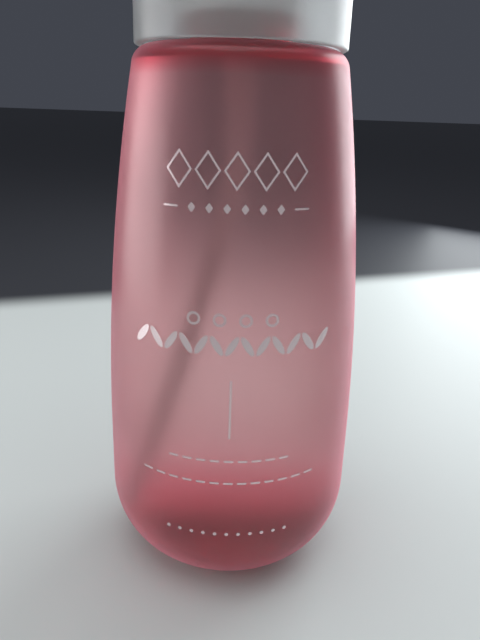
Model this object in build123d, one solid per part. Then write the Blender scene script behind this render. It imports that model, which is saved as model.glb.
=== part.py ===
from build123d import *

import math
import os

# A pocketable mist spray bottle: a tapered round bottle, a screw closure with a finger pump,
# a dip tube and a push-on overcap. Millimetres, +Z up, the origin at the centre of the base.
# The nozzle looks along -Y.

# Bottle body
BODY_RADIUS = 29.95
BODY_WALL = 1.45
FOOT_RADIUS = 12.95
FOOT_INNER_RADIUS = 11.0
PUSH_UP = 1.8
FLOOR_THICKNESS = 2.4
BASE_HEIGHT = 19.7
TAPER_START = 35.0
TAPER_ARC = 500.0
SHOULDER_CORNER = 120.5
SHOULDER_ROUND = 4.0
FOOT_ROUND = 0.8

# Neck finish, 24 mm across the thread, eight threads to the inch
NECK_RADIUS = 10.8
NECK_BORE = 9.0
NECK_ROOT = 121.6
NECK_ROOT_ROUND = 1.2
NECK_TOP = 141.0
BEAD_RADIUS = 12.9
BEAD_BOTTOM = 124.6
BEAD_HEIGHT = 1.6
BEAD_EDGE = 0.4
THREAD_PITCH = 3.175
THREAD_TURNS = 1.5
THREAD_CREST = 11.9
THREAD_START = 131.0
THREAD_BASE_WIDTH = 1.3
THREAD_CREST_WIDTH = 0.7
THREAD_BITE = 0.25

# Closure
CLOSURE_RADIUS = 13.75
CLOSURE_BORE = 12.15
CLOSURE_BOTTOM = 127.5
CLOSURE_TOP_THICKNESS = 1.25
CLOSURE_HOLE = 7.4
CLOSURE_CHAMFER = 0.5
CLOSURE_THREAD_CREST = 11.15
GRIP_COUNT = 60
GRIP_RADIUS = 0.45
GRIP_DEPTH = 0.3
GRIP_MARGIN = 1.4

# Gasket and pump housing
GASKET_INNER = 6.35
GASKET_OUTER = 11.0
GASKET_THICKNESS = 1.0
FLANGE_RADIUS = 11.2
FLANGE_THICKNESS = 1.2
CUP_RADIUS = 6.2
CUP_BORE = 5.0
CUP_BOTTOM = 136.3
CUP_TAPER = 1.5
BARREL_RADIUS = 4.3
PISTON_BORE = 3.0
PISTON_BORE_TOP = 137.5
SPRING_LEDGE = 121.5
BARREL_BOTTOM = 121.0
SOCKET_TOP = 118.5
SOCKET_RADIUS = 2.2
SOCKET_BOTTOM = 107.0
CAGE_RADIUS = 1.9
SEAT_BOTTOM = 116.9
INLET_RADIUS = 1.0
TUBE_STOP = 115.5
RIB_INNER = 1.25
RIB_BOTTOM = 120.0
RIB_HEIGHT = 1.0
RIB_WIDTH = 0.6
RIB_COUNT = 3
VENT_RADIUS = 0.5
VENT_HEIGHT = 135.0

# Check ball, on a 45 degree seat
BALL_RADIUS = 1.5
BALL_GAP = 0.04

# Turret, the bush that holds the plunger in
TURRET_BOTTOM = 138.6
TURRET_SPIGOT = 4.95
TURRET_LIP = 6.8
TURRET_LIP_THICKNESS = 0.9
TURRET_RADIUS = 5.6
TURRET_TOP = 149.5
TURRET_CHAMFER = 0.5
GUIDE_RADIUS = 2.0
GUIDE_LENGTH = 2.0
RELIEF_RADIUS = 3.2

# Stem, its plug, the piston and the spring
STEM_RADIUS = 1.9
STEM_LOWER_RADIUS = 1.5
STEM_BORE = 1.1
STEM_BOTTOM = 131.3
STEM_TOP = 157.0
COLLAR_RADIUS = 2.6
COLLAR_BOTTOM = 137.3
COLLAR_THICKNESS = 1.2
PORT_RADIUS = 0.35
PORT_HEIGHT = 133.4
PLUG_RADIUS = 2.5
PLUG_THICKNESS = 1.0
PLUG_SPIGOT = 1.07
PLUG_SPIGOT_LENGTH = 1.6
PLUG_PIN_RADIUS = 1.3
PLUG_PIN_LENGTH = 2.5
PISTON_RADIUS = 2.95
PISTON_WAIST = 2.3
PISTON_HOLE = 1.56
PISTON_LENGTH = 5.0
PISTON_LIP = 1.0
PISTON_GAP = 0.05
SPRING_RADIUS = 2.2
WIRE_RADIUS = 0.25
SPRING_TURNS = 6.5
SPRING_SLACK = 0.03

# Actuator and nozzle insert
ACTUATOR_RADIUS = 8.5
ACTUATOR_TOP_RADIUS = 7.9
ACTUATOR_BOTTOM = 149.4
ACTUATOR_TOP = 161.5
ACTUATOR_ROUND = 1.0
ACTUATOR_SKIRT_BORE = 6.4
ACTUATOR_CEILING = 154.4
DISH_DEPTH = 1.2
DISH_RADIUS = 6.6
CHANNEL_RADIUS = 0.55
STEM_FIT = 0.03
STEM_HEADROOM = 0.05
WELL_TOP = 158.6
NOZZLE_HEIGHT = 157.9
NOZZLE_RADIUS = 2.2
NOZZLE_DEPTH = 3.2
NOZZLE_FACE = 8.35
NOZZLE_ORIFICE = 0.2
NOZZLE_CONE = 0.9
NOZZLE_CONE_DEPTH = 0.8
SWIRL_RADIUS = 1.4
SWIRL_DEPTH = 0.5

# Dip tube: straight out of its socket, one gentle bend, then a long run towards the foot of the wall
TUBE_RADIUS = 1.6
TUBE_BORE = 0.95
TUBE_FIT = 0.02
TUBE_ROUTE = [(0, 0, 115.4), (0, 0, 92.8), (-9.3, -0.5, 50.6), (-19.3, -1.4, 9.5)]
TUBE_BENDS = [80.0, 1200.0]

# Overcap
OVERCAP_RADIUS = 22.55
OVERCAP_WALL = 1.8
OVERCAP_BOTTOM = 120.75
OVERCAP_TOP = 164.5
OVERCAP_ROOF = 2.0
OVERCAP_ROUND = 2.5
OVERCAP_RIM_ROUND = 0.5
SLEEVE_BORE = 13.95
SLEEVE_WALL = 1.2
SLEEVE_BOTTOM = 131.5

FLANGE_BOTTOM = NECK_TOP + GASKET_THICKNESS
FLANGE_TOP = FLANGE_BOTTOM + FLANGE_THICKNESS
CLOSURE_GAP = 0.05
CLOSURE_TOP = FLANGE_TOP + CLOSURE_GAP + CLOSURE_TOP_THICKNESS


def turned(outline):
    """Turns a closed outline, drawn as (radius, height), about Z."""
    return revolve(Plane.XZ * make_face(outline), Axis.Z)


def turned_points(*points):
    """Turns a closed outline of straight lines between (radius, height) points."""
    return turned(Polyline(*points, close=True))


def ring(inner, outer, bottom, top):
    """A plain ring about Z."""
    return turned_points((inner, bottom), (outer, bottom), (outer, top), (inner, top))


def rounded(face, radius, *corner):
    """Rounds the corner of a flat outline that lies nearest to a point."""
    return fillet(face.vertices().sort_by_distance(corner)[0], radius)


def cross_hole(radius, height, reach):
    """A round bar along Y through the axis, for drilling a port."""
    bar = Cylinder(radius, 2 * reach, rotation=(90, 0, 0))
    return Pos(0, 0, height) * bar


def taper_radius(height, inset):
    """Radius of the long taper at a height, drawn in by a wall thickness."""
    rise = height - TAPER_START
    return BODY_RADIUS - TAPER_ARC + math.sqrt((TAPER_ARC - inset) ** 2 - rise**2)


def vessel(inset, floor, neck, top):
    """The bottle's outside, or with an inset its inside, as a solid of revolution."""
    widest = BODY_RADIUS - inset
    corner_height = SHOULDER_CORNER - inset
    corner = (taper_radius(corner_height, inset), corner_height)
    middle_height = (TAPER_START + corner_height) / 2
    middle = (taper_radius(middle_height, inset), middle_height)
    root = (neck, NECK_ROOT - inset)
    outline = [
        TangentArc((0, floor + PUSH_UP), (FOOT_INNER_RADIUS, floor), tangent=(1, 0)),
        Line((FOOT_INNER_RADIUS, floor), (FOOT_RADIUS, floor)),
        EllipticalCenterArc(
            (FOOT_RADIUS, BASE_HEIGHT),
            widest - FOOT_RADIUS,
            BASE_HEIGHT - floor,
            start_angle=270,
            arc_size=90,
        ),
        Line((widest, BASE_HEIGHT), (widest, TAPER_START)),
        ThreePointArc((widest, TAPER_START), middle, corner),
        Line(corner, root),
        Line(root, (neck, top)),
        Line((neck, top), (0, top)),
        Line((0, top), (0, floor + PUSH_UP)),
    ]
    face = make_face(outline)
    face = rounded(face, SHOULDER_ROUND - inset, *corner)
    face = rounded(face, NECK_ROOT_ROUND + inset, *root)
    face = rounded(face, FOOT_ROUND + inset, FOOT_INNER_RADIUS, floor)
    return revolve(Plane.XZ * face, Axis.Z)


def thread_ridge(root, crest, start):
    """One helical ridge of trapezoid section, reaching from root to crest."""
    rise = THREAD_TURNS * THREAD_PITCH
    path = Helix(THREAD_PITCH, rise, root, center=(0, 0, start))
    section = Polyline(
        (0, -THREAD_BASE_WIDTH / 2),
        (crest - root, -THREAD_CREST_WIDTH / 2),
        (crest - root, THREAD_CREST_WIDTH / 2),
        (0, THREAD_BASE_WIDTH / 2),
        close=True,
    )
    plane = Plane(origin=path @ 0, x_dir=(1, 0, 0), z_dir=path % 0)
    return sweep(plane * make_face(section), path=path, is_frenet=True)


def bottle():
    """Blown body with a pushed-up base, and a moulded neck with its bead and thread."""
    outside = vessel(0, 0, NECK_RADIUS, NECK_TOP)
    inside = vessel(BODY_WALL, FLOOR_THICKNESS, NECK_BORE, NECK_TOP)
    bead_top = BEAD_BOTTOM + BEAD_HEIGHT
    bead = turned_points(
        (NECK_BORE + BODY_WALL / 2, BEAD_BOTTOM),
        (BEAD_RADIUS - BEAD_EDGE, BEAD_BOTTOM),
        (BEAD_RADIUS, BEAD_BOTTOM + BEAD_EDGE),
        (BEAD_RADIUS, bead_top - BEAD_EDGE),
        (BEAD_RADIUS - BEAD_EDGE, bead_top),
        (NECK_BORE + BODY_WALL / 2, bead_top),
    )
    ridge = thread_ridge(NECK_RADIUS - THREAD_BITE, THREAD_CREST, THREAD_START)
    return outside - inside + bead + ridge


def closure():
    """Ribbed screw closure, open below, with a hole in its top for the turret."""
    blank = Circle(CLOSURE_RADIUS)
    blank -= PolarLocations(CLOSURE_RADIUS + GRIP_RADIUS - GRIP_DEPTH, GRIP_COUNT) * Circle(GRIP_RADIUS)
    height = CLOSURE_TOP - CLOSURE_BOTTOM
    ribbed = Pos(0, 0, CLOSURE_BOTTOM) * extrude(blank, height)
    plain = ring(0, CLOSURE_RADIUS, CLOSURE_BOTTOM, CLOSURE_BOTTOM + GRIP_MARGIN)
    plain += ring(0, CLOSURE_RADIUS, CLOSURE_TOP - GRIP_MARGIN, CLOSURE_TOP)
    outside = turned_points(
        (0, CLOSURE_BOTTOM),
        (CLOSURE_RADIUS, CLOSURE_BOTTOM),
        (CLOSURE_RADIUS, CLOSURE_TOP - CLOSURE_CHAMFER),
        (CLOSURE_RADIUS - CLOSURE_CHAMFER, CLOSURE_TOP),
        (0, CLOSURE_TOP),
    )
    bore_top = FLANGE_TOP + CLOSURE_GAP
    shell = (ribbed + plain) & outside
    shell -= ring(0, CLOSURE_BORE, CLOSURE_BOTTOM, bore_top)
    shell -= ring(0, CLOSURE_HOLE, bore_top, CLOSURE_TOP)
    start = THREAD_START + THREAD_PITCH / 2
    return shell + thread_ridge(CLOSURE_BORE + THREAD_BITE, CLOSURE_THREAD_CREST, start)


def neck_gasket():
    """Flat sealing ring between the neck and the housing's flange."""
    return ring(GASKET_INNER, GASKET_OUTER, NECK_TOP, FLANGE_BOTTOM)


def pump_housing():
    """Flanged pump barrel with the ball's cage and seat, and the dip tube's socket below."""
    outside = turned_points(
        (0, SOCKET_BOTTOM),
        (SOCKET_RADIUS, SOCKET_BOTTOM),
        (SOCKET_RADIUS, SOCKET_TOP),
        (BARREL_RADIUS, BARREL_BOTTOM),
        (BARREL_RADIUS, CUP_BOTTOM - CUP_TAPER),
        (CUP_RADIUS, CUP_BOTTOM),
        (CUP_RADIUS, FLANGE_BOTTOM),
        (FLANGE_RADIUS, FLANGE_BOTTOM),
        (FLANGE_RADIUS, FLANGE_TOP),
        (0, FLANGE_TOP),
    )
    tube_hole = TUBE_RADIUS + TUBE_FIT
    inside = turned_points(
        (0, SOCKET_BOTTOM),
        (tube_hole, SOCKET_BOTTOM),
        (tube_hole, TUBE_STOP),
        (INLET_RADIUS, TUBE_STOP),
        (INLET_RADIUS, SEAT_BOTTOM),
        (CAGE_RADIUS, SEAT_BOTTOM + CAGE_RADIUS - INLET_RADIUS),
        (CAGE_RADIUS, SPRING_LEDGE),
        (PISTON_BORE, SPRING_LEDGE),
        (PISTON_BORE, PISTON_BORE_TOP),
        (CUP_BORE, PISTON_BORE_TOP),
        (CUP_BORE, FLANGE_TOP),
        (0, FLANGE_TOP),
    )
    vent = Pos(0, BARREL_RADIUS, VENT_HEIGHT) * Cylinder(VENT_RADIUS, BARREL_RADIUS, rotation=(90, 0, 0))
    return outside - inside + cage_ribs() - vent


def cage_ribs():
    """Small ribs that keep the ball in its cage."""
    length = CAGE_RADIUS + BODY_WALL / 2 - RIB_INNER
    rib = Box(length, RIB_WIDTH, RIB_HEIGHT, align=(Align.MIN, Align.CENTER, Align.MIN))
    return [Pos(0, 0, RIB_BOTTOM) * place * rib for place in PolarLocations(RIB_INNER, RIB_COUNT)]


def check_ball():
    """Steel ball resting on the housing's seat."""
    seat_apex = SEAT_BOTTOM - INLET_RADIUS
    centre = seat_apex + BALL_RADIUS * math.sqrt(2) + BALL_GAP
    return Pos(0, 0, centre) * Sphere(BALL_RADIUS)


def turret():
    """Bush pressed into the housing, with a guide at each end for the stem."""
    lip_top = FLANGE_TOP + TURRET_LIP_THICKNESS
    outside = turned_points(
        (0, TURRET_BOTTOM),
        (TURRET_SPIGOT, TURRET_BOTTOM),
        (TURRET_SPIGOT, FLANGE_TOP),
        (TURRET_LIP, FLANGE_TOP),
        (TURRET_LIP, lip_top),
        (TURRET_RADIUS, lip_top),
        (TURRET_RADIUS, TURRET_TOP - TURRET_CHAMFER),
        (TURRET_RADIUS - TURRET_CHAMFER, TURRET_TOP),
        (0, TURRET_TOP),
    )
    inside = turned_points(
        (0, TURRET_BOTTOM),
        (GUIDE_RADIUS, TURRET_BOTTOM),
        (GUIDE_RADIUS, TURRET_BOTTOM + GUIDE_LENGTH),
        (RELIEF_RADIUS, TURRET_BOTTOM + GUIDE_LENGTH),
        (RELIEF_RADIUS, TURRET_TOP - GUIDE_LENGTH),
        (GUIDE_RADIUS, TURRET_TOP - GUIDE_LENGTH),
        (GUIDE_RADIUS, TURRET_TOP),
        (0, TURRET_TOP),
    )
    return outside - inside


def stem():
    """Hollow stem with a stop collar, and side ports that the piston covers at rest."""
    collar_top = COLLAR_BOTTOM + COLLAR_THICKNESS
    outside = turned_points(
        (STEM_BORE, STEM_BOTTOM),
        (STEM_LOWER_RADIUS, STEM_BOTTOM),
        (STEM_LOWER_RADIUS, COLLAR_BOTTOM),
        (COLLAR_RADIUS, COLLAR_BOTTOM),
        (COLLAR_RADIUS, collar_top),
        (STEM_RADIUS, collar_top),
        (STEM_RADIUS, STEM_TOP),
        (STEM_BORE, STEM_TOP),
    )
    return outside - cross_hole(PORT_RADIUS, PORT_HEIGHT, STEM_RADIUS)


def stem_plug():
    """Plug in the foot of the stem: it carries the piston and sits on the spring."""
    flange_bottom = STEM_BOTTOM - PLUG_THICKNESS
    return turned_points(
        (0, flange_bottom - PLUG_PIN_LENGTH),
        (PLUG_PIN_RADIUS, flange_bottom - PLUG_PIN_LENGTH),
        (PLUG_PIN_RADIUS, flange_bottom),
        (PLUG_RADIUS, flange_bottom),
        (PLUG_RADIUS, STEM_BOTTOM),
        (PLUG_SPIGOT, STEM_BOTTOM),
        (PLUG_SPIGOT, STEM_BOTTOM + PLUG_SPIGOT_LENGTH),
        (0, STEM_BOTTOM + PLUG_SPIGOT_LENGTH),
    )


def piston():
    """Piston with a sealing lip at each end of a narrower waist."""
    bottom = STEM_BOTTOM + PISTON_GAP
    top = bottom + PISTON_LENGTH
    return turned_points(
        (PISTON_HOLE, bottom),
        (PISTON_RADIUS, bottom),
        (PISTON_RADIUS, bottom + PISTON_LIP),
        (PISTON_WAIST, bottom + PISTON_LIP),
        (PISTON_WAIST, top - PISTON_LIP),
        (PISTON_RADIUS, top - PISTON_LIP),
        (PISTON_RADIUS, top),
        (PISTON_HOLE, top),
    )


def return_spring():
    """Round wire spring between the housing's ledge and the plug."""
    bottom = SPRING_LEDGE + WIRE_RADIUS + SPRING_SLACK
    top = STEM_BOTTOM - PLUG_THICKNESS - WIRE_RADIUS - SPRING_SLACK
    length = top - bottom
    path = Helix(length / SPRING_TURNS, length, SPRING_RADIUS, center=(0, 0, bottom))
    plane = Plane(origin=path @ 0, x_dir=(1, 0, 0), z_dir=path % 0)
    return sweep(plane * Circle(WIRE_RADIUS), path=path, is_frenet=True)


def dip_tube():
    """Bent tube pressed into the housing's socket, with a slant cut at its foot."""
    path = FilletPolyline(*TUBE_ROUTE, radius=TUBE_BENDS)
    plane = Plane(origin=path @ 0, z_dir=path % 0)
    wall = Circle(TUBE_RADIUS) - Circle(TUBE_BORE)
    tube = sweep(plane * wall, path=path)
    section = math.pi * (TUBE_RADIUS**2 - TUBE_BORE**2)
    print("dip tube bends", TUBE_BENDS, "length", round(path.length, 1))
    print("dip tube volume", round(tube.volume, 1), "section x length", round(section * path.length, 1))
    end = Plane(origin=path @ 1, z_dir=path % 1)
    slant = end * Rot(0, 45, 0) * Box(*[8 * TUBE_RADIUS] * 3, align=(Align.CENTER, Align.CENTER, Align.MIN))
    return tube - slant


def actuator():
    """Finger button with a dished top, a skirt over the turret and a socket for the nozzle."""
    outline = Polyline(
        (0, ACTUATOR_BOTTOM),
        (ACTUATOR_RADIUS, ACTUATOR_BOTTOM),
        (ACTUATOR_TOP_RADIUS, ACTUATOR_TOP),
        (0, ACTUATOR_TOP),
        close=True,
    )
    face = rounded(make_face(outline), ACTUATOR_ROUND, ACTUATOR_TOP_RADIUS, ACTUATOR_TOP)
    button = revolve(Plane.XZ * face, Axis.Z)
    dish_sphere = (DISH_RADIUS**2 + DISH_DEPTH**2) / (2 * DISH_DEPTH)
    button -= Pos(0, 0, ACTUATOR_TOP - DISH_DEPTH + dish_sphere) * Sphere(dish_sphere)
    stem_hole = STEM_RADIUS + STEM_FIT
    stem_stop = STEM_TOP + STEM_HEADROOM
    button -= turned_points(
        (0, ACTUATOR_BOTTOM),
        (ACTUATOR_SKIRT_BORE, ACTUATOR_BOTTOM),
        (ACTUATOR_SKIRT_BORE, ACTUATOR_CEILING),
        (stem_hole, ACTUATOR_CEILING),
        (stem_hole, stem_stop),
        (STEM_BORE, stem_stop),
        (STEM_BORE, WELL_TOP),
        (0, WELL_TOP),
    )
    button -= nozzle_bar(CHANNEL_RADIUS, STEM_BORE / 2, NOZZLE_FACE)
    button -= nozzle_bar(NOZZLE_RADIUS, NOZZLE_FACE - NOZZLE_DEPTH, NOZZLE_FACE + 1)
    return button


def nozzle_bar(radius, near, far):
    """A round bar along -Y at the nozzle's height, between two distances from the axis."""
    bar = Cylinder(radius, far - near, rotation=(90, 0, 0))
    return Pos(0, -(near + far) / 2, NOZZLE_HEIGHT) * bar


def nozzle_insert():
    """Cup pressed into the actuator, with a swirl chamber, an orifice and a flared mouth."""
    inner_face = -NOZZLE_DEPTH
    cup = turned_points(
        (0, inner_face),
        (NOZZLE_RADIUS, inner_face),
        (NOZZLE_RADIUS, 0),
        (0, 0),
    )
    cup -= turned_points(
        (0, inner_face),
        (SWIRL_RADIUS, inner_face),
        (SWIRL_RADIUS, inner_face + SWIRL_DEPTH),
        (NOZZLE_ORIFICE, inner_face + SWIRL_DEPTH),
        (NOZZLE_ORIFICE, -NOZZLE_CONE_DEPTH),
        (NOZZLE_CONE, 0),
        (0, 0),
    )
    return Pos(0, -NOZZLE_FACE, NOZZLE_HEIGHT) * (Rot(90, 0, 0) * cup)


def overcap():
    """Push-on cap: a thick outer wall, and an inner sleeve that grips the closure."""
    inner = OVERCAP_RADIUS - OVERCAP_WALL
    outline = Polyline(
        (0, OVERCAP_BOTTOM),
        (OVERCAP_RADIUS, OVERCAP_BOTTOM),
        (OVERCAP_RADIUS, OVERCAP_TOP),
        (0, OVERCAP_TOP),
        close=True,
    )
    face = rounded(make_face(outline), OVERCAP_ROUND, OVERCAP_RADIUS, OVERCAP_TOP)
    face = rounded(face, OVERCAP_RIM_ROUND, OVERCAP_RADIUS, OVERCAP_BOTTOM)
    roof = OVERCAP_TOP - OVERCAP_ROOF
    shell = revolve(Plane.XZ * face, Axis.Z) - ring(0, inner, OVERCAP_BOTTOM, roof)
    return shell + ring(SLEEVE_BORE, SLEEVE_BORE + SLEEVE_WALL, SLEEVE_BOTTOM, roof)


NODES = {
    "bottle": bottle,
    "closure": closure,
    "neck_gasket": neck_gasket,
    "pump_housing": pump_housing,
    "turret": turret,
    "stem": stem,
    "stem_plug": stem_plug,
    "piston": piston,
    "return_spring": return_spring,
    "check_ball": check_ball,
    "dip_tube": dip_tube,
    "actuator": actuator,
    "nozzle_insert": nozzle_insert,
    "overcap": overcap,
}

os.makedirs("parts", exist_ok=True)
for name, make in NODES.items():
    export_step(make(), f"parts/{name}.step")
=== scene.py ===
import math

import bpy
from mathutils import Matrix, Vector


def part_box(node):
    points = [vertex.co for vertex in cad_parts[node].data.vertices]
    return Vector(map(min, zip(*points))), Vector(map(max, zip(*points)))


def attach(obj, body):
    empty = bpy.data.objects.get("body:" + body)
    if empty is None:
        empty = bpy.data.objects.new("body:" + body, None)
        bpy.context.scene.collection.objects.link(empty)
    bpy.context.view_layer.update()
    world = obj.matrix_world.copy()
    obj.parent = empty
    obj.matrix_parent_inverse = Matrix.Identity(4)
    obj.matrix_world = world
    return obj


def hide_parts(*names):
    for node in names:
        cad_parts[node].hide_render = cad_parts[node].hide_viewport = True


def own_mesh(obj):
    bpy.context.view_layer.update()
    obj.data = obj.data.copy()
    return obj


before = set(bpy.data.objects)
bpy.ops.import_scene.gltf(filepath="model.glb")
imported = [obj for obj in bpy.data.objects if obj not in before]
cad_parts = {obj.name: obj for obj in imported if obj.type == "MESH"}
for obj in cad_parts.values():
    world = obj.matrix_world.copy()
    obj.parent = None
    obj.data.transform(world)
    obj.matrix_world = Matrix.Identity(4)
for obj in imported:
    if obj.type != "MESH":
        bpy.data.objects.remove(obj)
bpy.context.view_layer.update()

# ---------------------------------------------------------------- camera
# A phone held close, a little below the bottle's shoulder, and tipped down at the table. It leans
# a little to one side, and cuts off the top of the overcap.
EYE = Vector((0.0, -0.1394, 0.1086))
EYE_PITCH = math.radians(19.3)
EYE_YAW = 0.0125
EYE_ROLL = 0.035
EYE_LENS = 33.75
EYE_SENSOR = 36.0

bpy.ops.object.select_all(action="DESELECT")
bpy.ops.object.camera_add()
camera = bpy.context.object
camera.name = "camera"
reach = math.cos(EYE_PITCH)
ahead = Vector((math.sin(EYE_YAW) * reach, math.cos(EYE_YAW) * reach, -math.sin(EYE_PITCH)))
level_right = ahead.cross(Vector((0, 0, 1))).normalized()
right = Matrix.Rotation(-EYE_ROLL, 3, ahead) @ level_right
up = right.cross(ahead)
camera.matrix_world = Matrix.Translation(EYE) @ Matrix((right, up, -ahead)).transposed().to_4x4()
camera.data.lens = EYE_LENS
camera.data.sensor_width = EYE_SENSOR
camera.data.clip_start = 0.01
camera.data.dof.use_dof = False
bpy.context.scene.camera = camera

# ---------------------------------------------------------------- table and light
# A pale, dull table top that darkens towards the back. The room is dim behind it and lighter in
# front; one soft box stands behind and to the right like a window, one hangs overhead, and a weak
# reflector stands low at the left.
TABLE_REACH = 12.0
TABLE_NEAR = 0.215
TABLE_FAR = 0.25
TABLE_SLOPE = -0.35
TABLE_PALE = (0.66, 0.70, 0.69, 1)
TABLE_DARK = (0.035, 0.037, 0.045, 1)
TABLE_ROUGHNESS = 0.55
ROOM_FRONT = (0.44, 0.45, 0.46, 1)
ROOM_BACK = (0.055, 0.06, 0.075, 1)
ROOM_TURN = (-0.5, 0.25)
LIGHT_AIM = Vector((0, 0, 0.08))

bpy.ops.object.select_all(action="DESELECT")
bpy.ops.mesh.primitive_plane_add(size=2 * TABLE_REACH)
table = bpy.context.object
table.name = "table"
table_finish = bpy.data.materials.new("table_top")
table_finish.use_nodes = True
nodes = table_finish.node_tree.nodes
links = table_finish.node_tree.links
shader = nodes["Principled BSDF"]
shader.inputs["Roughness"].default_value = TABLE_ROUGHNESS
place = nodes.new("ShaderNodeTexCoord")
depth = nodes.new("ShaderNodeVectorMath")
depth.operation = "DOT_PRODUCT"
depth.inputs[1].default_value = (TABLE_SLOPE, 1.0, 0.0)
fade = nodes.new("ShaderNodeMapRange")
fade.interpolation_type = "SMOOTHSTEP"
fade.inputs["From Min"].default_value = TABLE_NEAR
fade.inputs["From Max"].default_value = TABLE_FAR
tone = nodes.new("ShaderNodeMix")
tone.data_type = "RGBA"
tone.inputs["A"].default_value = TABLE_PALE
tone.inputs["B"].default_value = TABLE_DARK
links.new(place.outputs["Object"], depth.inputs[0])
links.new(depth.outputs["Value"], fade.inputs["Value"])
links.new(fade.outputs["Result"], tone.inputs["Factor"])
links.new(tone.outputs["Result"], shader.inputs["Base Color"])
table.data.materials.append(table_finish)

room = bpy.data.worlds.new("room")
room.use_nodes = True
nodes = room.node_tree.nodes
links = room.node_tree.links
way = nodes.new("ShaderNodeTexCoord")
parts = nodes.new("ShaderNodeSeparateXYZ")
turn = nodes.new("ShaderNodeMapRange")
turn.interpolation_type = "SMOOTHSTEP"
turn.inputs["From Min"].default_value = ROOM_TURN[0]
turn.inputs["From Max"].default_value = ROOM_TURN[1]
wall = nodes.new("ShaderNodeMix")
wall.data_type = "RGBA"
wall.inputs["A"].default_value = ROOM_FRONT
wall.inputs["B"].default_value = ROOM_BACK
links.new(way.outputs["Generated"], parts.inputs["Vector"])
links.new(parts.outputs["Y"], turn.inputs["Value"])
links.new(turn.outputs["Result"], wall.inputs["Factor"])
links.new(wall.outputs["Result"], nodes["Background"].inputs["Color"])
bpy.context.scene.world = room
bpy.context.scene.view_settings.view_transform = "Standard"


def soft_light(name, place, width, height, watts, colour=(1, 1, 1)):
    """A rectangular soft box that faces the middle of the bottle."""
    bpy.ops.object.select_all(action="DESELECT")
    bpy.ops.object.light_add(type="AREA", location=place)
    light = bpy.context.object
    light.name = name
    light.data.shape = "RECTANGLE"
    light.data.size = width
    light.data.size_y = height
    light.data.energy = watts
    light.data.color = colour
    aim = LIGHT_AIM - Vector(place)
    light.rotation_euler = aim.to_track_quat("-Z", "Y").to_euler()
    light.visible_camera = False


COOL = (0.93, 0.98, 1.0)
soft_light("window", (0.31, 0.33, 0.21), width=0.38, height=0.40, watts=1.9, colour=COOL)
soft_light("overhead", (-0.05, 0.05, 0.80), width=0.9, height=0.9, watts=3.2)
soft_light("reflector", (-0.34, 0.02, 0.09), width=0.30, height=0.16, watts=0.4)

# ---------------------------------------------------------------- bottle
# A blown bottle in rose-tinted plastic with a satin frost. The long taper is one large arc, the
# base one quarter of an ellipse, and the neck is moulded with a bead and a thread.
MM = 0.001
bottle_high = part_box("bottle")[1]
body_radius = bottle_high.x / MM
neck_top = bottle_high.z / MM
WALL = 1.45
FLOOR = 2.4
PUSH_UP = 1.8
FOOT_INNER = 11.0
FOOT = 12.95
BASE_HEIGHT = 19.7
TAPER_START = 35.0
TAPER_ARC = 500.0
SHOULDER = 120.5
SHOULDER_ROUND = 4.0
SHOULDER_LEAD = 3.0
NECK_ROOT = 121.6
NECK_ROOT_ROUND = 1.2
NECK_RADIUS = 10.8
NECK_BORE = 9.0
BEAD_BOTTOM = 124.6
BEAD_HEIGHT = 1.6
BEAD_RADIUS = 12.9
BEAD_EDGE = 0.4
LIP_EDGE = 0.3
THREAD_PITCH = 3.175
THREAD_TURNS = 1.5
THREAD_START = 131.0
THREAD_ROOT = 10.55
THREAD_CREST = 11.9
THREAD_FOOT_WIDTH = 1.3
THREAD_CREST_WIDTH = 0.7
THREAD_STEPS = 120
MERGE = 0.002 * MM
SOFT_ANGLE = math.radians(28)
FINE_STEPS = 128


def arc_points(middle, radii, start, end, count):
    """Points along an arc of an ellipse, from one angle to another in degrees."""
    points = []
    for step in range(count + 1):
        angle = math.radians(start + (end - start) * step / count)
        across = middle[0] + radii[0] * math.cos(angle)
        points.append((across, middle[1] + radii[1] * math.sin(angle)))
    return points


def rounded_corner(before, corner, after, radius, count):
    """Points that round the corner between two straight lines."""
    corner = Vector(corner)
    back = (Vector(before) - corner).normalized()
    on = (Vector(after) - corner).normalized()
    half = back.angle(on) / 2
    middle = corner + (back + on).normalized() * radius / math.sin(half)
    first = corner + back * radius / math.tan(half) - middle
    last = corner + on * radius / math.tan(half) - middle
    turn = first.angle_signed(last)
    points = []
    for step in range(count + 1):
        spoke = Matrix.Rotation(-turn * step / count, 2) @ first
        points.append(tuple(middle + spoke))
    return points


def taper_radius(height, inset):
    """Radius of the long taper at a height, drawn in by the wall where inset says so."""
    rise = height - TAPER_START
    return body_radius - TAPER_ARC + math.sqrt((TAPER_ARC - inset) ** 2 - rise**2)


def body_outline(inset, floor, neck):
    """The body from its foot to its neck, outside or, with an inset, inside."""
    top = SHOULDER - inset
    corner = (taper_radius(top, inset), top)
    below = (taper_radius(top - SHOULDER_LEAD, inset), top - SHOULDER_LEAD)
    root = (neck, NECK_ROOT - inset)
    round_off = rounded_corner(below, corner, root, SHOULDER_ROUND - inset, 12)
    last = round_off[0][1]
    # The pushed-up base is a shallow part of a large ball.
    dome = (FOOT_INNER**2 + PUSH_UP**2) / (2 * PUSH_UP)
    dome_edge = math.degrees(math.asin(FOOT_INNER / dome))
    points = arc_points((0, floor + PUSH_UP - dome), (dome, dome), 90, 90 - dome_edge, 8)
    radii = (body_radius - inset - FOOT, BASE_HEIGHT - floor)
    points += arc_points((FOOT, BASE_HEIGHT), radii, 270, 360, 24)
    rises = [TAPER_START + (last - TAPER_START) * step / 24 for step in range(24)]
    points += [(taper_radius(height, inset), height) for height in rises]
    points += round_off
    points += rounded_corner(corner, root, (neck, neck_top), NECK_ROOT_ROUND + inset, 6)
    return points


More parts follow.
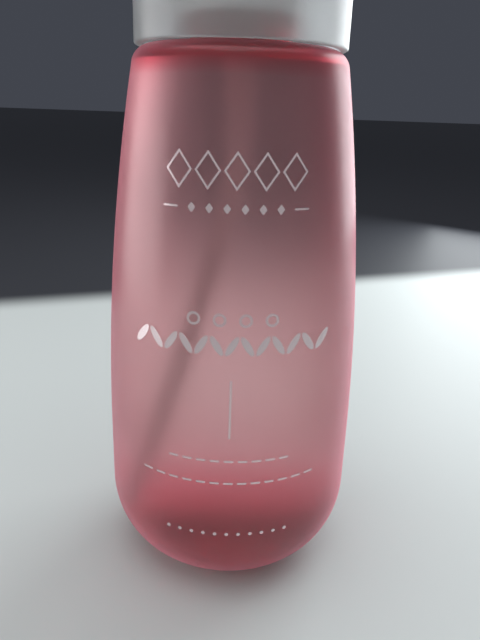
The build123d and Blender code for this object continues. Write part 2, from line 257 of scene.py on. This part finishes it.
def drawn_outline(name, outline):
    """Draws (radius, height) points, in millimetres, as a chain of edges beside the axis."""
    bpy.ops.object.select_all(action="DESELECT")
    first = outline[0]
    bpy.ops.mesh.primitive_plane_add(size=MM, location=(first[0] * MM, 0, first[1] * MM))
    piece = bpy.context.object
    piece.name = name
    bpy.ops.object.transform_apply(location=True)
    bpy.ops.object.mode_set(mode="EDIT")
    bpy.ops.mesh.select_mode(type="VERT")
    bpy.ops.mesh.select_all(action="SELECT")
    bpy.ops.mesh.merge(type="CENTER")
    for here, there in zip(outline, outline[1:]):
        step = ((there[0] - here[0]) * MM, 0, (there[1] - here[1]) * MM)
        bpy.ops.mesh.extrude_region_move(TRANSFORM_OT_translate={"value": step})
    bpy.ops.mesh.select_all(action="SELECT")
    return piece


def turned_piece(name, outline, steps=96):
    """Spins an outline round the axis into a closed piece."""
    piece = drawn_outline(name, outline)
    bpy.ops.mesh.spin(steps=steps, angle=math.tau, center=(0, 0, 0), axis=(0, 0, 1))
    bpy.ops.mesh.select_all(action="SELECT")
    bpy.ops.mesh.remove_doubles(threshold=MERGE)
    bpy.ops.mesh.normals_make_consistent(inside=False)
    bpy.ops.object.mode_set(mode="OBJECT")
    bpy.ops.object.shade_smooth_by_angle(angle=SOFT_ANGLE)
    return piece


def wound_piece(name, section, turns, rise, steps):
    """Winds a closed section round the axis as it rises, and closes both ends."""
    piece = drawn_outline(name, section + [section[0]])
    bpy.ops.mesh.remove_doubles(threshold=MERGE)
    bpy.ops.object.mode_set(mode="OBJECT")
    winding = piece.modifiers.new("winding", "SCREW")
    winding.angle = math.tau * turns
    winding.screw_offset = rise * MM
    winding.steps = steps
    winding.render_steps = steps
    winding.use_smooth_shade = False
    bpy.ops.object.modifier_apply(modifier="winding")
    bpy.ops.object.mode_set(mode="EDIT")
    bpy.ops.mesh.select_all(action="SELECT")
    bpy.ops.mesh.fill_holes(sides=len(section))
    bpy.ops.mesh.select_all(action="SELECT")
    bpy.ops.mesh.normals_make_consistent(inside=False)
    bpy.ops.object.mode_set(mode="OBJECT")
    return piece


def cut_or_joined(piece, tool, operation):
    """Cuts a tool out of a piece, or makes the two one solid, and clears the tool away."""
    bpy.ops.object.select_all(action="DESELECT")
    bpy.context.view_layer.objects.active = piece
    piece.select_set(True)
    merge = piece.modifiers.new("merge", "BOOLEAN")
    merge.operation = operation
    merge.solver = "EXACT"
    merge.object = tool
    bpy.ops.object.modifier_apply(modifier="merge")
    bpy.data.objects.remove(tool)
    bpy.ops.object.shade_smooth_by_angle(angle=SOFT_ANGLE)


outside = body_outline(0, 0, NECK_RADIUS)
bead_top = BEAD_BOTTOM + BEAD_HEIGHT
outside += [
    (NECK_RADIUS, BEAD_BOTTOM),
    (BEAD_RADIUS - BEAD_EDGE, BEAD_BOTTOM),
    (BEAD_RADIUS, BEAD_BOTTOM + BEAD_EDGE),
    (BEAD_RADIUS, bead_top - BEAD_EDGE),
    (BEAD_RADIUS - BEAD_EDGE, bead_top),
    (NECK_RADIUS, bead_top),
    (NECK_RADIUS, neck_top - LIP_EDGE),
    (NECK_RADIUS - LIP_EDGE, neck_top),
]
inside = [(NECK_BORE + LIP_EDGE, neck_top), (NECK_BORE, neck_top - LIP_EDGE)]
inside += reversed(body_outline(WALL, FLOOR, NECK_BORE))
bottle = turned_piece("bottle_shell", outside + inside, FINE_STEPS)
ridge = [
    (THREAD_ROOT, THREAD_START - THREAD_FOOT_WIDTH / 2),
    (THREAD_CREST, THREAD_START - THREAD_CREST_WIDTH / 2),
    (THREAD_CREST, THREAD_START + THREAD_CREST_WIDTH / 2),
    (THREAD_ROOT, THREAD_START + THREAD_FOOT_WIDTH / 2),
]
thread = wound_piece("neck_thread", ridge, THREAD_TURNS, THREAD_TURNS * THREAD_PITCH, THREAD_STEPS)
cut_or_joined(bottle, thread, "UNION")


def plastic_finish(name, colour, roughness, spread, grain, relief):
    """A finish whose gloss wanders over a few millimetres, with a fine grain on top."""
    finish = bpy.data.materials.new(name)
    finish.use_nodes = True
    tree = finish.node_tree
    skin = tree.nodes["Principled BSDF"]
    skin.inputs["Base Color"].default_value = (*colour, 1)
    where = tree.nodes.new("ShaderNodeTexCoord")
    wander = tree.nodes.new("ShaderNodeTexNoise")
    wander.inputs["Scale"].default_value = 90.0
    wander.inputs["Detail"].default_value = 3.0
    gloss = tree.nodes.new("ShaderNodeMapRange")
    gloss.inputs["From Min"].default_value = 0.3
    gloss.inputs["From Max"].default_value = 0.7
    gloss.inputs["To Min"].default_value = roughness - spread
    gloss.inputs["To Max"].default_value = roughness + spread
    speck = tree.nodes.new("ShaderNodeTexNoise")
    speck.inputs["Scale"].default_value = grain
    speck.inputs["Detail"].default_value = 2.0
    bump = tree.nodes.new("ShaderNodeBump")
    bump.inputs["Strength"].default_value = 1.0
    bump.inputs["Distance"].default_value = relief * MM
    tree.links.new(where.outputs["Object"], wander.inputs["Vector"])
    tree.links.new(wander.outputs["Fac"], gloss.inputs["Value"])
    tree.links.new(gloss.outputs["Result"], skin.inputs["Roughness"])
    tree.links.new(where.outputs["Object"], speck.inputs["Vector"])
    tree.links.new(speck.outputs["Fac"], bump.inputs["Height"])
    tree.links.new(bump.outputs["Normal"], skin.inputs["Normal"])
    return finish


def soaked(finish, colour, density):
    """Gives a clear plastic its tint in the depth of its wall."""
    tint = finish.node_tree.nodes.new("ShaderNodeVolumeAbsorption")
    tint.inputs["Color"].default_value = (*colour, 1)
    tint.inputs["Density"].default_value = density
    last = finish.node_tree.nodes["Material Output"]
    finish.node_tree.links.new(tint.outputs["Volume"], last.inputs["Volume"])


# Painted shade: the rose is painted deeper round the foot and in a band over the shoulder, to stand
# in for the table's shadow seen through the base and the long light paths through the wall there.
# The table gives the height in millimetres, and the shares of green and of blue that get through.
PAINTED_SHADE_ROSE = {
    0.0: (0.24, 0.33),
    8.0: (0.38, 0.47),
    16.0: (0.86, 0.88),
    34.0: (1.0, 0.99),
    75.0: (0.95, 0.95),
    114.5: (0.92, 0.93),
    118.0: (0.20, 0.30),
}

rose = plastic_finish(
    "rose_frost", (1.0, 0.93, 0.935), roughness=0.30, spread=0.02, grain=9000.0, relief=0.0006
)
nodes = rose.node_tree.nodes
skin = nodes["Principled BSDF"]
height = nodes.new("ShaderNodeSeparateXYZ")
share = nodes.new("ShaderNodeMapRange")
share.inputs["From Max"].default_value = neck_top * MM
# A ramp by height paints this shade into the base colour of the frost.
painted_shade_ramp = nodes.new("ShaderNodeValToRGB")
for stop, (level, (green, blue)) in enumerate(PAINTED_SHADE_ROSE.items()):
    mark = painted_shade_ramp.color_ramp.elements[stop] if stop < 2 else painted_shade_ramp.color_ramp.elements.new(1.0)
    mark.position = level / neck_top
    mark.color = (1.0, green, blue, 1)
rose.node_tree.links.new(nodes["Texture Coordinate"].outputs["Object"], height.inputs["Vector"])
rose.node_tree.links.new(height.outputs["Z"], share.inputs["Value"])
rose.node_tree.links.new(share.outputs["Result"], painted_shade_ramp.inputs["Fac"])
rose.node_tree.links.new(painted_shade_ramp.outputs["Color"], skin.inputs["Base Color"])
skin.inputs["IOR"].default_value = 1.5
skin.inputs["Transmission Weight"].default_value = 1.0
skin.inputs["Sheen Weight"].default_value = 1.0
skin.inputs["Sheen Roughness"].default_value = 0.5
skin.inputs["Sheen Tint"].default_value = (1.0, 0.36, 0.45, 1)
soaked(rose, (0.97, 0.24, 0.30), 260.0)
bottle.data.materials.clear()
bottle.data.materials.append(rose)
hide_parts("bottle")
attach(bottle, "bottle")

# ---------------------------------------------------------------- liquid
# The rose water that fills the bottle to just under its shoulder. It wets the wall, so its
# outside lies a hair inside the plastic, with no air between them.
LEVEL = 117.5
WETTED = 0.15

wetted = body_outline(WALL - WETTED, FLOOR - WETTED, NECK_BORE)
bath = [point for point in wetted if point[1] < LEVEL]
bath.append((taper_radius(LEVEL, WALL - WETTED), LEVEL))
bath.append((0, LEVEL))
liquid = turned_piece("liquid", bath, FINE_STEPS)

water = bpy.data.materials.new("rose_water")
water.use_nodes = True
skin = water.node_tree.nodes["Principled BSDF"]
skin.inputs["Base Color"].default_value = (1.0, 1.0, 1.0, 1)
skin.inputs["Roughness"].default_value = 0.0
skin.inputs["IOR"].default_value = 1.333
skin.inputs["Transmission Weight"].default_value = 1.0
liquid.data.materials.append(water)
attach(liquid, "bottle")

# ---------------------------------------------------------------- foil marks
# Plain ornaments stamped in thin silver foil on the front of the bottle: lozenges, rules, rings,
# petals, dashes and dots, cut flat and then pressed on to the round wall.
FOIL_LIFT = 0.02
FOIL_THICKNESS = 0.03
FOIL_DISTANCE = 40.0
FINE_STROKE = 0.38
LOZENGE_ROW = 97.9
LOZENGE_SIZE = (2.5, 3.6)
LOZENGES = (-11.0, -5.5, 0.0, 5.5, 11.0)
LOZENGE_SIDES = 4
RULE_ROW = 91.0
RULE_MIDDLES = (-12.6, 12.6)
RULE_HALF_LENGTH = 1.4
RULE_LOZENGES = (-8.5, -5.1, -1.7, 1.7, 5.1, 8.5)
RULE_LOZENGE_SIZE = (0.75, 1.0)
RING_ROW = 69.6
RINGS = (-7.8, -2.6, 2.6, 7.8)
RING_RADIUS = 1.35
RING_STROKE = 0.45
RING_SIDES = 32
PETAL_ROW = 64.3
PETAL_STEP = 3.1
PETAL_SIZE = (0.72, 2.35)
PETAL_LEAN = 32.0
PETAL_SIDES = 20
PETALS_EACH_WAY = 6
HAIRLINE = (44.0, 57.0)
DASH_ROWS = {38.5: 9, 33.1: 13}
DASH_STEP = 2.95
DASH_HALF_LENGTH = 1.0
DASH_HALF_HEIGHT = 0.22
DOT_ROW = 20.0
DOT_STEP = 2.6
DOT_RADIUS = 0.42
DOT_SIDES = 12
DOTS_EACH_WAY = 5


def foil_shape(x, height, sides, half_width, half_height, lean=0.0, stroke=None):
    """Cuts one flat mark in front of the bottle. With a stroke only its outline stays."""
    bpy.ops.object.select_all(action="DESELECT")
    spot = (x * MM, -FOIL_DISTANCE * MM, height * MM)
    turn = (math.pi / 2, math.radians(lean), 0)
    bpy.ops.mesh.primitive_circle_add(
        vertices=sides, radius=1, fill_type="NGON", location=spot, rotation=turn
    )
    mark = bpy.context.object
    mark.scale = (half_width * MM, half_height * MM, 1)
    bpy.ops.object.transform_apply(location=True, rotation=True, scale=True)
    if stroke:
        bpy.ops.object.mode_set(mode="EDIT")
        bpy.ops.mesh.select_all(action="SELECT")
        bpy.ops.mesh.inset(thickness=stroke * MM)
        bpy.ops.mesh.delete(type="FACE")
        bpy.ops.mesh.select_all(action="SELECT")
        bpy.ops.mesh.subdivide(number_cuts=2 if sides < 8 else 0)
        bpy.ops.object.mode_set(mode="OBJECT")
    return mark


def foil_rule(left, right, low, high, cuts):
    """Cuts one flat strip in front of the bottle."""
    bpy.ops.object.select_all(action="DESELECT")
    middle = ((left + right) / 2 * MM, -FOIL_DISTANCE * MM, (low + high) / 2 * MM)
    bpy.ops.mesh.primitive_plane_add(size=1, location=middle, rotation=(math.pi / 2, 0, 0))
    strip = bpy.context.object
    strip.scale = ((right - left) * MM, (high - low) * MM, 1)
    bpy.ops.object.transform_apply(location=True, rotation=True, scale=True)
    bpy.ops.object.mode_set(mode="EDIT")
    bpy.ops.mesh.select_all(action="SELECT")
    bpy.ops.mesh.subdivide(number_cuts=cuts)
    bpy.ops.object.mode_set(mode="OBJECT")
    return strip


half_stroke = FINE_STROKE / 2
marks = []
for x in LOZENGES:
    marks.append(foil_shape(x, LOZENGE_ROW, LOZENGE_SIDES, *LOZENGE_SIZE, stroke=FINE_STROKE))
for x in RULE_MIDDLES:
    ends = (x - RULE_HALF_LENGTH, x + RULE_HALF_LENGTH)
    marks.append(foil_rule(*ends, RULE_ROW - half_stroke, RULE_ROW + half_stroke, cuts=3))
for x in RULE_LOZENGES:
    marks.append(foil_shape(x, RULE_ROW, LOZENGE_SIDES, *RULE_LOZENGE_SIZE))
for x in RINGS:
    marks.append(foil_shape(x, RING_ROW, RING_SIDES, RING_RADIUS, RING_RADIUS, stroke=RING_STROKE))
for step in range(-PETALS_EACH_WAY, PETALS_EACH_WAY + 1):
    lean = PETAL_LEAN * (-1) ** step
    marks.append(foil_shape(step * PETAL_STEP, PETAL_ROW, PETAL_SIDES, *PETAL_SIZE, lean=lean))
marks.append(foil_rule(-half_stroke, half_stroke, *HAIRLINE, cuts=7))
for row, count in DASH_ROWS.items():
    for step in range(count):
        x = (step - (count - 1) / 2) * DASH_STEP
        ends = (x - DASH_HALF_LENGTH, x + DASH_HALF_LENGTH)
        marks.append(foil_rule(*ends, row - DASH_HALF_HEIGHT, row + DASH_HALF_HEIGHT, cuts=1))
for step in range(-DOTS_EACH_WAY, DOTS_EACH_WAY + 1):
    marks.append(foil_shape(step * DOT_STEP, DOT_ROW, DOT_SIDES, DOT_RADIUS, DOT_RADIUS))

bpy.ops.object.select_all(action="DESELECT")
for mark in marks:
    mark.select_set(True)
bpy.context.view_layer.objects.active = marks[0]
bpy.ops.object.join()
foil = bpy.context.object
foil.name = "foil_marks"
press = foil.modifiers.new("press", "SHRINKWRAP")
press.target = bottle
press.wrap_method = "PROJECT"
press.use_project_y = True
press.use_positive_direction = True
press.use_negative_direction = False
press.offset = FOIL_LIFT * MM
bpy.ops.object.modifier_apply(modifier="press")
gauge = foil.modifiers.new("gauge", "SOLIDIFY")
gauge.thickness = FOIL_THICKNESS * MM
gauge.offset = 1.0
bpy.ops.object.modifier_apply(modifier="gauge")
bpy.ops.object.shade_smooth_by_angle(angle=SOFT_ANGLE)

silver = plastic_finish(
    "silver_foil", (0.84, 0.70, 0.72), roughness=0.34, spread=0.06, grain=5000.0, relief=0.002
)
silver.node_tree.nodes["Principled BSDF"].inputs["Metallic"].default_value = 1.0
foil.data.materials.append(silver)
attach(foil, "bottle")

# ---------------------------------------------------------------- dip tube
# A thin tube of milky, undyed plastic, pushed into the pump's socket. It bends a little towards
# the foot of the wall, and its end is cut on a slant.
TUBE_RADIUS = 1.6
TUBE_WALL = 0.65
TUBE_ROUTE = [(0, 0, 115.4), (0, 0, 106.0), (0, 0, 92.8), (-9.3, -0.5, 50.6), (-19.3, -1.4, 9.5)]

bpy.ops.object.select_all(action="DESELECT")
bpy.ops.curve.primitive_nurbs_path_add()
tube = bpy.context.object
tube.name = "dip_tube_run"
run = tube.data.splines[0]
for point, place in zip(run.points, TUBE_ROUTE):
    point.co = (place[0] * MM, place[1] * MM, place[2] * MM, 1)
run.order_u = 3
run.use_endpoint_u = True
run.resolution_u = 16
tube.data.bevel_depth = TUBE_RADIUS * MM
tube.data.bevel_resolution = 7
bpy.ops.object.convert(target="MESH")
foot = Vector(TUBE_ROUTE[-1]) * MM
way = (Vector(TUBE_ROUTE[-1]) - Vector(TUBE_ROUTE[-2])).normalized()
across = way.cross(Vector((0, 1, 0))).normalized()
bpy.ops.object.mode_set(mode="EDIT")
bpy.ops.mesh.select_all(action="SELECT")
bpy.ops.mesh.remove_doubles(threshold=MERGE)
bpy.ops.mesh.select_all(action="SELECT")
bpy.ops.mesh.bisect(plane_co=foot - way * TUBE_RADIUS * MM, plane_no=way + across, clear_outer=True)
bpy.ops.mesh.select_all(action="SELECT")
bpy.ops.mesh.normals_make_consistent(inside=False)
bpy.ops.object.mode_set(mode="OBJECT")
bore = tube.modifiers.new("bore", "SOLIDIFY")
bore.thickness = TUBE_WALL * MM
bore.offset = -1.0
bpy.ops.object.modifier_apply(modifier="bore")
bpy.ops.object.shade_smooth_by_angle(angle=SOFT_ANGLE)

natural = plastic_finish(
    "undyed_plastic", (0.97, 0.96, 0.94), roughness=0.42, spread=0.05, grain=1800.0, relief=0.002
)
skin = natural.node_tree.nodes["Principled BSDF"]
skin.inputs["IOR"].default_value = 1.5
skin.inputs["Transmission Weight"].default_value = 0.5
tube.data.materials.append(natural)
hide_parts("dip_tube")
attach(tube, "pump")

# ---------------------------------------------------------------- return spring
# A coil of round steel wire that pushes the plunger back up. It stands on the ledge of the barrel,
# under the plug of the stem, and is pressed together as the button goes down.
SPRING_LOW = 121.78
SPRING_HIGH = 130.02
SPRING_RADIUS = 2.2
WIRE_RADIUS = 0.25
SPRING_TURNS = 6.5
SPRING_STEPS = 208
COIL_SOFT_ANGLE = math.radians(50)

wire = arc_points((SPRING_RADIUS, SPRING_LOW), (WIRE_RADIUS, WIRE_RADIUS), 0, 360, 12)[:-1]
spring = wound_piece("return_coil", wire, SPRING_TURNS, SPRING_HIGH - SPRING_LOW, SPRING_STEPS)
bpy.ops.object.shade_smooth_by_angle(angle=COIL_SOFT_ANGLE)

drawn_steel = plastic_finish(
    "drawn_steel", (0.72, 0.72, 0.73), roughness=0.27, spread=0.06, grain=4000.0, relief=0.002
)
drawn_steel.node_tree.nodes["Principled BSDF"].inputs["Metallic"].default_value = 1.0
spring.data.materials.append(drawn_steel)
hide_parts("return_spring")
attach(spring, "pump")
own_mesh(spring)

# ---------------------------------------------------------------- pump fittings
# The small moulded and turned parts of the pump, as they come out of their tools: the housing and
# piston in undyed plastic, turret, stem and closure in white, a foamed gasket and a steel ball.
white = plastic_finish(
    "satin_white", (0.90, 0.90, 0.89), roughness=0.30, spread=0.06, grain=1500.0, relief=0.006
)
white.node_tree.nodes["Principled BSDF"].inputs["IOR"].default_value = 1.49

foamed = plastic_finish(
    "foamed_seal", (0.90, 0.90, 0.89), roughness=0.75, spread=0.08, grain=3500.0, relief=0.03
)
ball_steel = plastic_finish(
    "polished_steel", (0.78, 0.78, 0.79), roughness=0.07, spread=0.03, grain=5000.0, relief=0.001
)
ball_steel.node_tree.nodes["Principled BSDF"].inputs["Metallic"].default_value = 1.0

FITTINGS = {
    "pump_housing": natural,
    "stem_plug": natural,
    "piston": natural,
    "nozzle_insert": natural,
    "turret": white,
    "stem": white,
    "closure": white,
    "neck_gasket": foamed,
    "check_ball": ball_steel,
}
for node, finish in FITTINGS.items():
    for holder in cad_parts[node].material_slots:
        holder.material = finish

# ---------------------------------------------------------------- actuator
# The white finger button: a dished top with a soft edge, a skirt that slides down over the turret,
# and a socket in its front for the nozzle.
BUTTON_RADIUS = 8.5
BUTTON_TOP_RADIUS = 7.9
BUTTON_BOTTOM = 149.4
BUTTON_TOP = 161.5
BUTTON_ROUND = 1.0
DISH_RADIUS = 6.6
DISH_DEPTH = 1.2
SKIRT_BORE = 6.4
SKIRT_CEILING = 154.4
SKIRT_LEAD = 2.0
STEM_SOCKET = 1.93
STEM_STOP = 157.05
STEM_BORE = 1.1
WELL_TOP = 158.6
NOZZLE_HEIGHT = 157.9
NOZZLE_SOCKET = 2.2
NOZZLE_BACK = 5.15
NOZZLE_FACE = 8.35
DRILL_EXCESS = 1.0
CHANNEL_RADIUS = 0.55
EDGE = 0.2


def softened(outline, radius):
    """Rounds every corner of an open outline a little, as a mould leaves it."""
    points = [outline[0]]
    for before, corner, after in zip(outline, outline[1:], outline[2:]):
        points += rounded_corner(before, corner, after, radius, 3)
    points.append(outline[-1])
    return points


# The dish is a shallow part of a large ball.
dish = (DISH_RADIUS**2 + DISH_DEPTH**2) / (2 * DISH_DEPTH)
dish_edge = math.degrees(math.asin(DISH_RADIUS / dish))
cavity = [
    (BUTTON_RADIUS, BUTTON_BOTTOM + SKIRT_LEAD),
    (BUTTON_RADIUS, BUTTON_BOTTOM),
    (SKIRT_BORE, BUTTON_BOTTOM),
    (SKIRT_BORE, SKIRT_CEILING),
    (STEM_SOCKET, SKIRT_CEILING),
    (STEM_SOCKET, STEM_STOP),
    (STEM_BORE, STEM_STOP),
    (STEM_BORE, WELL_TOP),
    (0, WELL_TOP),
]
top_middle = (0, BUTTON_TOP - DISH_DEPTH + dish)
crown = arc_points(top_middle, (dish, dish), 270, 270 + dish_edge, 12)
lip = (DISH_RADIUS, BUTTON_TOP)
crown += rounded_corner(lip, (BUTTON_TOP_RADIUS, BUTTON_TOP), cavity[0], BUTTON_ROUND, 8)
button = turned_piece("finger_button", crown + softened(cavity, EDGE))


def nozzle_drill(radius, near, far):
    """A round cutter along the front of the button, between two distances from the axis."""
    bpy.ops.object.select_all(action="DESELECT")
    spot = (0, -(near + far) / 2 * MM, NOZZLE_HEIGHT * MM)
    bpy.ops.mesh.primitive_cylinder_add(
        vertices=48,
        radius=radius * MM,
        depth=(far - near) * MM,
        location=spot,
        rotation=(math.pi / 2, 0, 0),
    )
    bpy.ops.object.transform_apply(location=True, rotation=True)
    return bpy.context.object


socket = nozzle_drill(NOZZLE_SOCKET, NOZZLE_BACK, NOZZLE_FACE + DRILL_EXCESS)
cut_or_joined(button, socket, "DIFFERENCE")
channel = nozzle_drill(CHANNEL_RADIUS, STEM_BORE / 2, NOZZLE_FACE)
cut_or_joined(button, channel, "DIFFERENCE")
button.data.materials.clear()
button.data.materials.append(white)
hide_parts("actuator")
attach(button, "actuator")

# ---------------------------------------------------------------- overcap
# The undyed push-on cap: a thick outer wall with a softly rounded top, and an inner sleeve that
# grips the closure. It is hazy, with a satin outside.
CAP_RADIUS = 22.55
CAP_WALL = 1.8
CAP_BOTTOM = 120.75
CAP_TOP = 164.5
CAP_ROOF = 2.0
CAP_ROUND = 2.5
CAP_RIM_ROUND = 0.5
SLEEVE_BORE = 13.95
SLEEVE_WALL = 1.2
SLEEVE_BOTTOM = 131.5

roof = CAP_TOP - CAP_ROOF
sleeve = SLEEVE_BORE + SLEEVE_WALL
cap_wall = CAP_RADIUS - CAP_WALL
crest = (CAP_RADIUS, CAP_TOP)
rim = (CAP_RADIUS, CAP_BOTTOM)
cap_shape = [(0, CAP_TOP)]
cap_shape += rounded_corner((0, CAP_TOP), crest, rim, CAP_ROUND, 12)
cap_shape += rounded_corner(crest, rim, (cap_wall, CAP_BOTTOM), CAP_RIM_ROUND, 6)
inner_path = [
    (cap_wall + CAP_RIM_ROUND, CAP_BOTTOM),
    (cap_wall, CAP_BOTTOM),
    (cap_wall, roof),
    (sleeve, roof),
    (sleeve, SLEEVE_BOTTOM),
    (SLEEVE_BORE, SLEEVE_BOTTOM),
    (SLEEVE_BORE, roof),
    (0, roof),
]
cap_shape += softened(inner_path, EDGE)
cap = turned_piece("overcap_shell", cap_shape, FINE_STEPS)

clear = plastic_finish(
    "hazy_plastic", (0.95, 0.96, 0.965), roughness=0.31, spread=0.03, grain=2500.0, relief=0.0006
)
skin = clear.node_tree.nodes["Principled BSDF"]
skin.inputs["IOR"].default_value = 1.49
skin.inputs["Transmission Weight"].default_value = 0.85
cap.data.materials.append(clear)
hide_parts("overcap")
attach(cap, "overcap")
